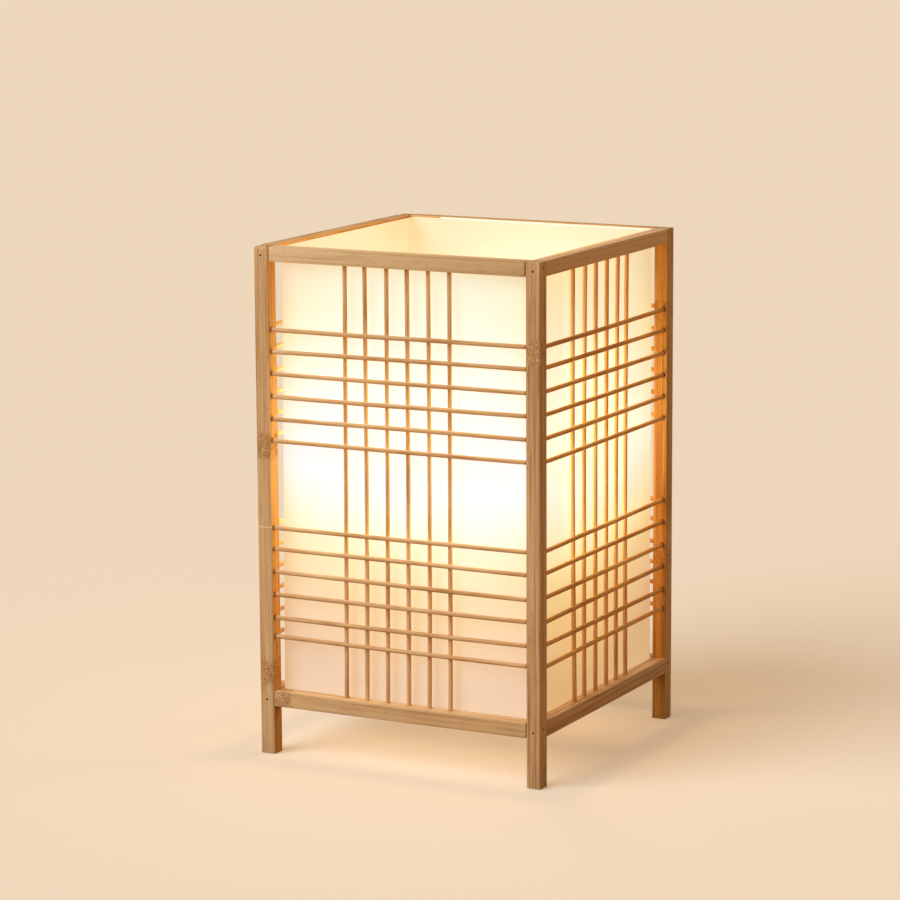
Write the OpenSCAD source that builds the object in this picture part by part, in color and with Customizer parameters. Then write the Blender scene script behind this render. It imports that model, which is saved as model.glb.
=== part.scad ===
// Bamboo table lamp: an open square frame of four posts and eight rails with a lattice of
// round sticks on each side, a folded paper shade inside it, and a lamp holder and bulb on a
// cross-bar let into the bottom rails. Millimetres, +Z up, origin in the middle of the
// footprint at table height, front toward -Y.

/* [Frame] */
// Width and depth of the frame over the posts
lamp_w = 220; // [180:1:300]
// Height of the posts
lamp_h = 362; // [300:1:480]
// Side of a square post
post_t = 10.5; // [9:0.5:16]
// Depth of a rail, from its outer face to its inner face
rail_t = 10.5; // [9:0.5:16]
// Height of a top rail
top_rail_h = 10.5; // [8:0.5:20]
// Height of a bottom rail
bottom_rail_h = 11; // [8:0.5:20]
// Free height of the posts under the bottom rails
foot_h = 35; // [15:0.5:60]
// Chamfer along every edge of the posts and rails
edge_ease = 0.5; // [0.2:0.1:1]
// Gap between a rail's end and its post
joint_gap = 0.1; // [0.05:0.05:0.2]

/* [Nails] */
// Diameter of a rail nail
nail_d = 1.3; // [1:0.1:2]
// Length of a rail nail
nail_l = 25; // [18:1:40]
// Depth of a nail's head below the face of the post
nail_sink = 0.3; // [0.1:0.1:1]
// Distance of a nail above or below the middle of its rail
nail_stagger = 1.2; // [1.1:0.1:2]
// Gap round a nail in its hole
nail_gap = 0.05; // [0.02:0.01:0.1]

/* [Lattice] */
// Diameter of a stick
stick_d = 3.2; // [2:0.1:3.5]
// Sticks in each group, upright or level
sticks = 6; // [3:1:8]
// Distance between the middles of level sticks
slat_pitch = 15.8; // [12:0.1:18]
// Distance between the middles of upright sticks
upright_pitch = 16.8; // [12:0.1:20]
// Shift of the uprights from the middle of a side, to the left seen from outside
upright_shift = 1.3; // [0:0.1:5]
// Depth of the level sticks' middles behind the outer face
slat_depth = 3.3; // [2.8:0.1:4]
// Gap between a level stick and the upright behind it
stick_gap = 0.1; // [0.05:0.05:0.3]
// Clear height from the top rail to the middle of the first level stick
top_window_h = 46.8; // [20:0.1:70]
// Clear height from the bottom rail to the middle of the last level stick
bottom_window_h = 38.5; // [20:0.1:60]
// Depth of a stick's hole in a post
slat_seat = 4; // [2:0.5:6]
// Depth of a stick's hole in a rail
upright_seat = 4; // [2:0.5:6]
// Gap round a stick in its hole and at the hole's bottom
seat_gap = 0.1; // [0.05:0.05:0.2]

/* [Shade] */
// Thickness of the shade's sheet
sheet_t = 0.5; // [0.4:0.1:1]
// Gap between the shade and the inner faces of the frame
shade_gap = 2; // [1:0.1:5]
// Outer radius of the shade's folded corners
fold_r = 3; // [1.5:0.1:20]
// Distance of the shade's top edge below the top of the rails
shade_drop = 1; // [0:0.1:10]
// Width of the glued overlap on the back of the shade
overlap_w = 170; // [10:1:170]
// Rise of the overlap's top edge above the rest of the shade
overlap_rise = 1; // [0:0.1:3]

/* [Cross-bar] */
// Width of the cross-bar
bar_w = 24; // [20:1:50]
// Thickness of the cross-bar
bar_t = 8.5; // [5:0.5:9]
// Depth of the cross-bar's housing in each side rail
bar_seat = 2.5; // [2:0.1:2.7]
// Gap round the cross-bar in its housing
bar_gap = 0.1; // [0.05:0.05:0.2]

/* [Lamp holder] */
// Outside diameter of the holder
holder_d = 39; // [36:0.5:50]
// Height of the holder above the cross-bar
holder_h = 58; // [54:0.5:80]
// Wall of the holder's cup and shell
holder_wall = 1.5; // [1:0.1:2]
// Height of the cup below its joint with the shell
cup_h = 20; // [14:0.5:24]
// Height of the cup's neck inside the shell
neck_h = 6; // [4:0.5:8]
// Height of the straight band at the top of the cup
band_h = 12; // [6:1:13]
// Height of the threaded boss in the cup's floor
boss_h = 6; // [4:0.5:8]
// Grip ribs round the cup's band
ribs = 24; // [12:1:36]
// Thickness of the contact block
block_t = 14; // [8:0.5:16]
// Outside diameter of the threaded tube
tube_d = 9.8; // [8:0.1:13]
// Bore of the threaded tube, the cord's way in
tube_bore_d = 8; // [6:0.1:9]
// Length of the threaded tube
tube_l = 22; // [20:1:40]
// Height of the lock nut
nut_h = 3; // [2:0.5:4]
// Size of the lock nut across its flats
nut_w = 14; // [13:0.5:19]
// Diameter of the washer
washer_d = 18; // [15:0.5:20]
// Thickness of the washer
washer_t = 1; // [0.5:0.1:2]
// Length of the screw sleeve that takes the bulb
sleeve_l = 22; // [18:0.5:26]
// Wall of the screw sleeve
sleeve_wall = 0.5; // [0.3:0.1:0.8]
// Height of the centre contact above the block
tongue_h = 4; // [3:0.5:5]
// Gap between pieces of the holder that screw or slide together
holder_gap = 0.15; // [0.05:0.05:0.3]

/* [Bulb] */
// Length of the bulb from its contact to its top
bulb_l = 132; // [120:1:160]
// Diameter of the bulb
bulb_d = 67; // [60:1:80]
// Diameter of the screw cap
cap_d = 26.2; // [25:0.1:28]
// Height of the screw cap with its contact
cap_h = 26; // [25:0.5:30]
// Wall of the metal cap
cap_wall = 0.4; // [0.3:0.1:0.6]
// Gap between the bulb's cap and the screw sleeve, and under the bulb's contact
bulb_gap = 0.3; // [0.2:0.05:0.5]
// Height of the rim below the middle of the dome
dome_drop = 15; // [8:1:20]
// Wall of the dome
dome_wall = 1.4; // [1:0.1:2.5]
// Wall of the housing
housing_wall = 2; // [1.5:0.1:3]
// Thickness of the light board
board_t = 1.6; // [1:0.1:2]
// Light chips on the board
chips = 12; // [6:1:18]

/* [Hidden] */

// The sides and how far each is turned from the front
SIDES = [["front", 0], ["right", 90], ["back", 180], ["left", 270]];

bamboo = [0.80, 0.66, 0.47];
bamboo_dark = [0.74, 0.58, 0.38];
paper = [0.98, 0.93, 0.80];
steel = [0.72, 0.73, 0.75];
brass = [0.80, 0.66, 0.32];
white = [0.93, 0.93, 0.91];
black = [0.12, 0.12, 0.12];

half = lamp_w / 2;
inner = half - post_t;
rail_l = lamp_w - 2 * post_t - 2 * joint_gap;
top_rail_z = lamp_h - top_rail_h;
bottom_rail_top = foot_h + bottom_rail_h;
hole_d = stick_d + 2 * seat_gap;
upright_depth = slat_depth + stick_d + stick_gap;
slat_l = lamp_w - 2 * post_t + 2 * (slat_seat - seat_gap);
upright_z = bottom_rail_top - upright_seat + seat_gap;
upright_l = top_rail_z + upright_seat - seat_gap - upright_z;
upper_slats_z = top_rail_z - top_window_h - (sticks - 1) * slat_pitch;
lower_slats_z = bottom_rail_top + bottom_window_h;
// How far a cut runs past the face that it opens
past = 1;
// Facets of round pieces
round_fn = 48;
stick_fn = 24;

bar_top = foot_h + bar_t;
shade_half = half - max(post_t, rail_t) - shade_gap;
shade_top = lamp_h - shade_drop;
shade_h = shade_top - bar_top;

tube_z = bar_top + boss_h - tube_l;
holder_r = holder_d / 2;
shell_z = bar_top + cup_h;
neck_r = holder_r - holder_wall - holder_gap;
block_r = neck_r - holder_wall - holder_gap;
block_z = shell_z + neck_h - block_t + holder_wall;
block_top = block_z + block_t;
sleeve_r = cap_d / 2 + bulb_gap;
bulb_z = block_top + tongue_h + bulb_gap;

cap_r = cap_d / 2;
// The cap's contact button, the black insulator round it and the slopes at their edges
button_r = 4.4;
button_slope = 0.8;
insulator_h = 5.5;
insulator_low = 1.2;
cap_lip = 2;
cap_slope = 1;
dome_r = bulb_d / 2;
dome_z = bulb_l - dome_r;
rim_z = dome_z - dome_drop;
rim_r = sqrt(dome_r * dome_r - dome_drop * dome_drop);
board_r = rim_r - housing_wall;
board_z = rim_z - board_t;

function turn(side) = SIDES[search([side], SIDES)[0]][1];
function is_flank(side) = side == "left" || side == "right";

// Turns a piece drawn for the front to another side
module on_side(side) {
  rotate([0, 0, turn(side)]) children();
}

// An octagon: a w by h rectangle with its corners cut by e
module eased_rect(w, h, e) {
  polygon([[e, 0], [w - e, 0], [w, e], [w, h - e], [w - e, h], [e, h], [0, h - e], [0, e]]);
}

// A bar along X, Y and Z from the origin with every edge chamfered
module eased_bar(x, y, z, e) {
  intersection() {
    linear_extrude(height = z) eased_rect(x, y, e);
    translate([0, y, 0]) rotate([90, 0, 0]) linear_extrude(height = y) eased_rect(x, z, e);
    rotate([90, 0, 90]) linear_extrude(height = x) eased_rect(y, z, e);
  }
}

// A stick along +Z from the origin
module stick(l) {
  cylinder(h = l, d = stick_d, $fn = stick_fn);
}

// Nails at the two ends of the rail on one side, at mid-height z of the rail
module nail_pair(side, z, d, l, sink) {
  height = z + (is_flank(side) ? -nail_stagger : nail_stagger);
  for (end = [-1, 1])
    translate([end * (half - sink), -half + rail_t / 2, height])
      rotate([0, -90 * end, 0]) cylinder(h = l, d = d, $fn = stick_fn);
}

// Every nail or every nail hole, where a hole is wider, and open at the post's face
module nail_set(widen, sink, extra) {
  for (row = SIDES)
    on_side(row[0]) {
      nail_pair(row[0], foot_h + bottom_rail_h / 2, nail_d + widen, nail_l + extra, sink);
      nail_pair(row[0], top_rail_z + top_rail_h / 2, nail_d + widen, nail_l + extra, sink);
    }
}

module nail_holes() {
  nail_set(2 * nail_gap, -past, nail_sink + past + nail_gap);
}

// Heights of the level sticks, from the lowest up
function slat_heights() = [
  for (start = [lower_slats_z, upper_slats_z], k = [0 : sticks - 1]) start + k * slat_pitch
];

// Places of the upright sticks along a side
function upright_places() = [
  for (k = [0 : sticks - 1]) (k - (sticks - 1) / 2) * upright_pitch - upright_shift
];

// The post at the left end of a side, with blind holes for the sticks of both its sides
module post(side) {
  color(bamboo)
    difference() {
      on_side(side)
        difference() {
          translate([-half, -half, 0]) eased_bar(post_t, post_t, lamp_h, edge_ease);
          for (z = slat_heights()) {
            translate([-inner - slat_seat, -half + slat_depth, z])
              rotate([0, 90, 0]) cylinder(h = slat_seat + past, d = hole_d, $fn = stick_fn);
            translate([-half + slat_depth, -inner - slat_seat, z])
              rotate([-90, 0, 0]) cylinder(h = slat_seat + past, d = hole_d, $fn = stick_fn);
          }
        }
      nail_holes();
    }
}

// A rail's plain bar, centred on its side with its outer face flush with the posts
module rail_bar(z, h) {
  translate([-rail_l / 2, -half, z]) eased_bar(rail_l, rail_t, h, edge_ease);
}

// Holes for the uprights, drilled up or down from a rail's face at height z
module upright_holes(z) {
  for (x = upright_places())
    translate([x, -half + upright_depth, z])
      cylinder(h = upright_seat + past, d = hole_d, $fn = stick_fn);
}

module top_rail(side) {
  color(bamboo)
    difference() {
      on_side(side)
        difference() {
          rail_bar(top_rail_z, top_rail_h);
          upright_holes(top_rail_z - past);
        }
      nail_holes();
    }
}

module bottom_rail(side) {
  color(bamboo)
    difference() {
      on_side(side)
        difference() {
          rail_bar(foot_h, bottom_rail_h);
          upright_holes(bottom_rail_top - upright_seat);
          if (is_flank(side))
            translate([-bar_w / 2 - bar_gap, -half + rail_t - bar_seat - bar_gap, foot_h - past])
              cube([bar_w + 2 * bar_gap, bar_seat + bar_gap + past, bar_t + bar_gap + past]);
        }
      nail_holes();
    }
}

module uprights(side) {
  color(bamboo_dark)
    on_side(side)
      for (x = upright_places())
        translate([x, -half + upright_depth, upright_z]) stick(upright_l);
}

module slats(side, z) {
  color(bamboo_dark)
    on_side(side)
      for (k = [0 : sticks - 1])
        translate([-slat_l / 2, -half + slat_depth, z + k * slat_pitch])
          rotate([0, 90, 0]) stick(slat_l);
}

module rail_nails() {
  color(steel) nail_set(0, nail_sink, 0);
}

// A square of half-width a with corners of radius r
module round_square(a, r) {
  square([2 * a, 2 * (a - r)], center = true);
  square([2 * (a - r), 2 * a], center = true);
  for (x = [-1, 1], y = [-1, 1])
    translate([x * (a - r), y * (a - r)]) circle(r = r, $fn = round_fn);
}

// One sheet folded into a square tube, its end lapping over the back from the right
module shade_sheet() {
  color(paper)
    translate([0, 0, bar_top]) {
      linear_extrude(height = shade_h)
        difference() {
          round_square(shade_half, fold_r);
          round_square(shade_half - sheet_t, fold_r - sheet_t);
        }
      translate([shade_half - fold_r - overlap_w, shade_half, 0])
        cube([overlap_w, sheet_t, shade_h + overlap_rise]);
    }
}

// The bar that carries the lamp holder, let into both side rails from below
module cross_bar() {
  bar_l = lamp_w - 2 * rail_t + 2 * bar_seat;
  color(bamboo_dark)
    difference() {
      translate([-bar_l / 2, -bar_w / 2, foot_h]) eased_bar(bar_l, bar_w, bar_t, edge_ease);
      translate([0, 0, foot_h - past])
        cylinder(h = bar_t + 2 * past, d = tube_d + 2 * holder_gap, $fn = round_fn);
    }
}

// Threaded tube that clamps the holder to the cross-bar and lets the cord in
module holder_tube() {
  color(steel)
    translate([0, 0, tube_z])
      difference() {
        cylinder(h = tube_l, d = tube_d, $fn = round_fn);
        translate([0, 0, -past])
          cylinder(h = tube_l + 2 * past, d = tube_bore_d, $fn = round_fn);
      }
}

module nut_washer() {
  color(steel)
    translate([0, 0, foot_h - washer_t])
      difference() {
        cylinder(h = washer_t, d = washer_d, $fn = round_fn);
        translate([0, 0, -past])
          cylinder(h = washer_t + 2 * past, d = tube_d + 2 * holder_gap, $fn = round_fn);
      }
}

module lock_nut() {
  color(steel)
    translate([0, 0, foot_h - washer_t - nut_h])
      difference() {
        cylinder(h = nut_h, r = nut_w / 2 / cos(30), $fn = 6);
        translate([0, 0, -past])
          cylinder(h = nut_h + 2 * past, d = tube_d + 2 * holder_gap, $fn = round_fn);
      }
}

// The holder's lower half: a floor on the cross-bar, a flared wall and a neck
module holder_cup() {
  hole_r = tube_d / 2 + holder_gap;
  boss_r = hole_r + holder_wall;
  band_z = cup_h - band_h;
  foot_r = holder_r - band_z / 2;
  bore_r = neck_r - holder_wall;
  rib_r = 0.7;
  color(white)
    translate([0, 0, bar_top]) {
      rotate_extrude($fn = round_fn)
        polygon([
          [hole_r, 0], [foot_r, 0], [holder_r, band_z], [holder_r, cup_h], [neck_r, cup_h],
          [neck_r, cup_h + neck_h], [bore_r, cup_h + neck_h], [bore_r, band_z],
          [foot_r - holder_wall, holder_wall], [boss_r, holder_wall], [boss_r, boss_h],
          [hole_r, boss_h]
        ]);
      for (k = [0 : ribs - 1])
        rotate([0, 0, 360 * k / ribs])
          translate([holder_r, 0, band_z + rib_r])
            cylinder(h = band_h - 2 * rib_r, r = rib_r, $fn = stick_fn);
    }
}

// The holder's upper half: a plain sleeve whose rim turns in over the screw sleeve
module holder_shell() {
  top = holder_h - cup_h;
  mouth_r = sleeve_r + sleeve_wall + holder_gap;
  color(white)
    translate([0, 0, shell_z])
      rotate_extrude($fn = round_fn)
        polygon([
          [holder_r - holder_wall, 0], [holder_r, 0], [holder_r, top - holder_wall],
          [holder_r - holder_wall, top], [mouth_r, top], [mouth_r, top - holder_wall],
          [holder_r - holder_wall, top - holder_wall]
        ]);
}

// Ceramic block inside the cup that carries both contacts
module contact_block() {
  rim_t = block_top - (shell_z + neck_h);
  color(white)
    translate([0, 0, block_z])
      rotate_extrude($fn = round_fn)
        polygon([
          [0, 0], [block_r, 0], [block_r, block_t - rim_t],
          [neck_r, block_t - rim_t], [neck_r, block_t], [0, block_t]
        ]);
}

module screw_sleeve() {
  color(brass)
    translate([0, 0, block_top])
      difference() {
        cylinder(h = sleeve_l, r = sleeve_r + sleeve_wall, $fn = round_fn);
        translate([0, 0, -past])
          cylinder(h = sleeve_l + 2 * past, r = sleeve_r, $fn = round_fn);
      }
}

// Sprung strip that touches the bulb's contact
module centre_tongue() {
  strip_w = 6;
  strip_t = 0.5;
  foot_x = -8;
  bend_x = -3;
  tip_x = 4;
  // The strip's inner surface turns a little short of each bend
  tuck = 2 * strip_t;
  color(brass)
    translate([0, strip_w / 2, block_top])
      rotate([90, 0, 0])
        linear_extrude(height = strip_w)
          polygon([
            [foot_x, 0], [bend_x, 0], [tip_x, tongue_h - strip_t], [tip_x, tongue_h],
            [bend_x, tongue_h], [bend_x, tongue_h - strip_t], [tip_x - tuck, tongue_h - strip_t],
            [bend_x - strip_t / 2, strip_t], [foot_x, strip_t]
          ]);
}

module bulb_contact() {
  color(steel)
    translate([0, 0, bulb_z])
      rotate_extrude($fn = round_fn)
        polygon([
          [0, 0], [button_r - button_slope, 0], [button_r, button_slope],
          [button_r, insulator_h], [0, insulator_h]
        ]);
}

module cap_insulator() {
  inner_r = button_r + holder_gap;
  color(black)
    translate([0, 0, bulb_z])
      rotate_extrude($fn = round_fn)
        polygon([
          [inner_r, insulator_low], [inner_r + insulator_low, insulator_low],
          [cap_r - cap_lip, insulator_h - insulator_low], [cap_r - cap_lip, insulator_h + cap_slope],
          [inner_r, insulator_h + cap_slope]
        ]);
}

module bulb_cap() {
  lip_r = cap_r - cap_lip + holder_gap;
  shoulder_z = insulator_h + cap_slope;
  color(steel)
    translate([0, 0, bulb_z])
      rotate_extrude($fn = round_fn)
        polygon([
          [lip_r, insulator_h - cap_wall], [cap_r - cap_wall, insulator_h - cap_wall],
          [cap_r, shoulder_z], [cap_r, cap_h], [cap_r - cap_wall, cap_h],
          [cap_r - cap_wall, shoulder_z], [cap_r - 2 * cap_wall, insulator_h],
          [lip_r, insulator_h]
        ]);
}

// Outline of the housing from the cap to the rim: a smooth flare in even steps
flare_steps = 12;
neck_start = cap_r + 2 * cap_wall;
function flare(t) = neck_start + (rim_r - neck_start) * (1 - cos(180 * t)) / 2;
function flare_line(inset) = [
  for (k = [0 : flare_steps])
    [flare(k / flare_steps) - inset, cap_h + (rim_z - cap_h) * k / flare_steps]
];

module bulb_housing() {
  ledge_r = board_r - housing_wall;
  floor_z = cap_h + housing_wall;
  color(white)
    translate([0, 0, bulb_z])
      rotate_extrude($fn = round_fn)
        difference() {
          polygon(concat([[0, rim_z], [0, cap_h]], flare_line(0)));
          intersection() {
            polygon(concat([[0, rim_z], [0, cap_h]], flare_line(housing_wall)));
            translate([0, floor_z]) square([ledge_r, rim_z]);
          }
          translate([0, board_z]) square([board_r + holder_gap, board_t + past]);
        }
}

// Disc of light chips on the housing's ledge, level with its rim
module light_board() {
  chip_w = 3;
  chip_t = 0.8;
  ring_r = board_r - 3 * chip_w;
  color(white)
    translate([0, 0, bulb_z + board_z]) {
      cylinder(h = board_t, r = board_r, $fn = round_fn);
      for (k = [0 : chips - 1])
        rotate([0, 0, 360 * k / chips])
          translate([ring_r - chip_w / 2, -chip_w / 2, 0]) cube([chip_w, chip_w, board_t + chip_t]);
    }
}

// Hollow dome on the housing's rim
module bulb_dome() {
  inner_r = dome_r - dome_wall;
  color(paper)
    translate([0, 0, bulb_z + dome_z])
      rotate_extrude($fn = round_fn)
        intersection() {
          difference() {
            circle(r = dome_r, $fn = 2 * round_fn);
            circle(r = inner_r, $fn = 2 * round_fn);
          }
          translate([0, -dome_drop]) square([dome_r, dome_r + dome_drop]);
        }
}

post("front");  // post_front_left
post("right");  // post_front_right
post("back");  // post_back_right
post("left");  // post_back_left
top_rail("front");  // top_rail_front
top_rail("right");  // top_rail_right
top_rail("back");  // top_rail_back
top_rail("left");  // top_rail_left
bottom_rail("front");  // bottom_rail_front
bottom_rail("right");  // bottom_rail_right
bottom_rail("back");  // bottom_rail_back
bottom_rail("left");  // bottom_rail_left
uprights("front");  // uprights_front
uprights("right");  // uprights_right
uprights("back");  // uprights_back
uprights("left");  // uprights_left
slats("front", upper_slats_z);  // upper_slats_front
slats("right", upper_slats_z);  // upper_slats_right
slats("back", upper_slats_z);  // upper_slats_back
slats("left", upper_slats_z);  // upper_slats_left
slats("front", lower_slats_z);  // lower_slats_front
slats("right", lower_slats_z);  // lower_slats_right
slats("back", lower_slats_z);  // lower_slats_back
slats("left", lower_slats_z);  // lower_slats_left
rail_nails();
shade_sheet();
cross_bar();
holder_tube();
lock_nut();
nut_washer();
holder_cup();
holder_shell();
contact_block();
screw_sleeve();
centre_tongue();
bulb_contact();
cap_insulator();
bulb_cap();
bulb_housing();
light_board();
bulb_dome();
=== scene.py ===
"""The looks of the bamboo table lamp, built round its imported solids. Lengths are in metres."""
import math
import random

import bmesh
import bpy
from mathutils import Matrix, Vector, noise


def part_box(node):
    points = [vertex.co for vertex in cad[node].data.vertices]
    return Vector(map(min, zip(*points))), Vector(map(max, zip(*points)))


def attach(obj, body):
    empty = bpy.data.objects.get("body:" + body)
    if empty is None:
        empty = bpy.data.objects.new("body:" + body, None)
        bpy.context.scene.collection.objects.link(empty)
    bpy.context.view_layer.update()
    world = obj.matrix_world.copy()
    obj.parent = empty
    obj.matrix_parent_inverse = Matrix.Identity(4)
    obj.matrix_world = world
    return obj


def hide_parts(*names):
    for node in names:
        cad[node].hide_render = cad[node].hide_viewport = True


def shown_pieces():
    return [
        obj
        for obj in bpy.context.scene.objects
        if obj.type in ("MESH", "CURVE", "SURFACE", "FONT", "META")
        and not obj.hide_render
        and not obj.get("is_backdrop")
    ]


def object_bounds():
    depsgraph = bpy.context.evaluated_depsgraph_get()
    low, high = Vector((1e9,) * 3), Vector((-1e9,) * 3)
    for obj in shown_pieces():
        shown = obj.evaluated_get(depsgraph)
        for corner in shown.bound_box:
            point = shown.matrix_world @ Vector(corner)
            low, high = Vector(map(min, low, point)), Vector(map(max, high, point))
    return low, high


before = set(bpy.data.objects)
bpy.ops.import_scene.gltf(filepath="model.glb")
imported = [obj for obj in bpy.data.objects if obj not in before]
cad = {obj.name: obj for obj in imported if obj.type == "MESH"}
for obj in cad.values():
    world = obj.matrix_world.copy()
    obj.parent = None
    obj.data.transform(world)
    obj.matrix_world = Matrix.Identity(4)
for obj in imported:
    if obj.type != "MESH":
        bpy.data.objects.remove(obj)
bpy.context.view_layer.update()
scene = bpy.context.scene
MM = 0.001
SIDES = ("front", "right", "back", "left")
AXES = {"x": 0, "y": 1, "z": 2}
ALONG = {"front": "x", "right": "y", "back": "x", "left": "y"}
BLACK = (0.0, 0.0, 0.0, 1.0)
# The sticks' random strays and bows come out the same each run
random.seed(11)

# From the solids: half the lamp's width, half the width between posts, half the sheet's width, and the
# heights of its top and foot
low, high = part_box("post_front_right")
HALF = high.x
INNER = low.x
low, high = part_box("shade_sheet")
SHADE_HALF = high.x
SHADE_TOP = high.z
SHADE_FOOT = low.z


def placed(name, data):
    made = bpy.data.objects.new(name, data)
    scene.collection.objects.link(made)
    return made


def heading(azimuth, elevation):
    """The direction from the lamp towards what stands at these angles."""
    flat = math.cos(elevation)
    return Vector((math.sin(azimuth) * flat, -math.cos(azimuth) * flat, math.sin(elevation)))


# Camera, as fitted to the photograph
FOCAL_PX = 3461.5
IMAGE_PX = 900
SENSOR = 36.0
CAMERA_AZIMUTH = math.radians(27.4555)
CAMERA_ELEVATION = math.radians(10.3549)
CAMERA_ROLL = 0.00587
CAMERA_DISTANCE = 2.46775
CAMERA_ACROSS = -0.01334
CAMERA_HEIGHT = 0.20893
CAMERA_CLIP = (0.05, 200)


def make_camera():
    data = bpy.data.cameras.new("camera")
    data.sensor_width = SENSOR
    data.lens = FOCAL_PX * SENSOR / IMAGE_PX
    data.clip_start, data.clip_end = CAMERA_CLIP
    camera = placed("camera", data)
    back = heading(CAMERA_AZIMUTH, CAMERA_ELEVATION)
    right = Vector((math.cos(CAMERA_AZIMUTH), math.sin(CAMERA_AZIMUTH), 0))
    up = back.cross(right)
    place = right * CAMERA_ACROSS + Vector((0, 0, CAMERA_HEIGHT)) + back * CAMERA_DISTANCE
    x = right * math.cos(CAMERA_ROLL) - up * math.sin(CAMERA_ROLL)
    y = right * math.sin(CAMERA_ROLL) + up * math.cos(CAMERA_ROLL)
    turn = Matrix((x, y, back)).transposed().to_4x4()
    camera.matrix_world = Matrix.Translation(place) @ turn
    scene.camera = camera


def linear(red, green, blue):
    """A colour given as it shows on a screen, 0 to 255, as linear light."""
    def one(c):
        c = c / 255
        return c / 12.92 if c <= 0.04045 else ((c + 0.055) / 1.055) ** 2.4
    return (one(red), one(green), one(blue), 1.0)


# Between these values of a pattern the roughness changes
PATTERN_RANGE = (0.3, 0.7)


class Finish:
    """A node material with one Principled shader and helpers that build its patterns."""

    def __init__(self, name, roughness=0.5, specular=0.5, metallic=0.0):
        self.material = bpy.data.materials.new(name)
        self.material.use_nodes = True
        self.tree = self.material.node_tree
        self.tree.nodes.clear()
        self.out = self.tree.nodes.new("ShaderNodeOutputMaterial")
        self.shader = self.tree.nodes.new("ShaderNodeBsdfPrincipled")
        self.tree.links.new(self.shader.outputs[0], self.out.inputs["Surface"])
        self.set("Roughness", roughness)
        self.set("Specular IOR Level", specular)
        self.set("Metallic", metallic)
        where = self.node("TexCoord")
        self.place = where["Object"]
        self.turned = where["Normal"]

    def feed(self, socket, value):
        if isinstance(value, bpy.types.NodeSocket):
            self.tree.links.new(value, socket)
        else:
            socket.default_value = value

    def set(self, name, value):
        self.feed(self.shader.inputs[name], value)

    def node(self, kind, inputs=None, **settings):
        """The outputs of a new node with these settings, and these values or sockets as its inputs."""
        node = self.tree.nodes.new("ShaderNode" + kind)
        for name, value in settings.items():
            setattr(node, name, value)
        for socket, value in (inputs or {}).items():
            self.feed(node.inputs[socket], value)
        return node.outputs

    def math(self, operation, first, *rest, clamp=False):
        """first through the operation, by itself or with each of the rest in turn."""
        for value in rest or (0.0,):
            first = self.node("Math", {0: first, 1: value}, operation=operation, use_clamp=clamp)[0]
        return first

    def plus(self, first, *rest):
        return self.math("ADD", first, *rest)

    def minus(self, first, second):
        return self.math("SUBTRACT", first, second)

    def times(self, first, *rest):
        return self.math("MULTIPLY", first, *rest)

    def size(self, value):
        """value without its sign."""
        return self.math("ABSOLUTE", value)

    def swing(self, value, most):
        """value, which lies about a half, scaled to lie about 0."""
        return self.times(self.minus(value, 0.5), most)

    def distance(self, x, y):
        return self.math("SQRT", self.plus(self.times(x, x), self.times(y, y)))

    def vector(self, operation, a, b):
        return self.node("VectorMath", {0: a, 1: b}, operation=operation)[0]

    def parts(self, value):
        return self.node("SeparateXYZ", {0: value})

    def grey(self, value):
        return self.node("CombineXYZ", {0: value, 1: value, 2: value})[0]

    def shifted(self, seed):
        """The place, moved so that each piece shows a part of the pattern of its own."""
        return self.vector("ADD", self.place, (seed * 0.37, seed * 0.71, seed * 0.13))

    def drawn_out(self, where, axis, share):
        """where with its measure along an axis cut to share, so that a pattern on it is drawn out there."""
        scale = [1.0, 1.0, 1.0]
        scale[AXES[axis]] = share
        return self.vector("MULTIPLY", where, tuple(scale))

    def noise(self, where, scale, detail=3.0, rough=0.5, twist=0.0):
        given = {"Vector": where, "Scale": scale, "Detail": detail, "Roughness": rough, "Distortion": twist}
        return self.node("TexNoise", given)["Fac"]

    def cells(self, where, scale):
        return self.node("TexVoronoi", {"Vector": where, "Scale": scale})["Distance"]

    def fade(self, value, low, high, to_low=0.0, to_high=1.0, smooth=True):
        given = {"Value": value, "From Min": low, "From Max": high, "To Min": to_low, "To Max": to_high}
        kind = "SMOOTHSTEP" if smooth else "LINEAR"
        return self.node("MapRange", given, interpolation_type=kind)["Result"]

    def ramp(self, value, stops):
        node = self.tree.nodes.new("ShaderNodeValToRGB")
        points = node.color_ramp.elements
        while len(points) < len(stops):
            points.new(0.5)
        for point, (at, colour) in zip(points, stops):
            point.position = at
        for point, (at, colour) in zip(points, stops):
            point.color = colour
        self.feed(node.inputs[0], value)
        return node.outputs[0]

    def mix(self, share, a, b, blend="MIX"):
        """Two colours mixed."""
        return self.node("Mix", {0: share, 6: a, 7: b}, data_type="RGBA", blend_type=blend)[2]

    def between(self, share, a, b):
        """Two numbers mixed."""
        return self.node("Mix", {0: share, 2: a, 3: b})[0]

    def tinted(self, colour, by):
        return self.mix(1.0, colour, by, "MULTIPLY")

    def facing_in(self):
        """1 where the surface looks towards the lamp's upright axis."""
        x, y, _ = self.parts(self.place)
        nx, ny, _ = self.parts(self.turned)
        return self.math("LESS_THAN", self.plus(self.times(nx, x), self.times(ny, y)), 0.0)

    def rough(self, pattern, low, high):
        """Roughness that follows a pattern from low to high."""
        self.set("Roughness", self.fade(pattern, *PATTERN_RANGE, low, high, False))

    def shine(self, colour, strength=1.0):
        self.set("Emission Color", colour)
        self.set("Emission Strength", strength)

    def made(self, colour, height, distance, strength):
        """The material, with its colour and its bumps."""
        self.set("Base Color", colour)
        given = {"Height": height, "Distance": distance, "Strength": strength}
        self.set("Normal", self.node("Bump", given)[0])
        return self.material


BAMBOO = linear(203, 160, 112)
BAMBOO_PALE = linear(222, 184, 136)
BAMBOO_DEEP = linear(170, 122, 74)
BAMBOO_DARK = linear(112, 70, 36)
BAMBOO_PALE_LINE = linear(246, 222, 190)
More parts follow.
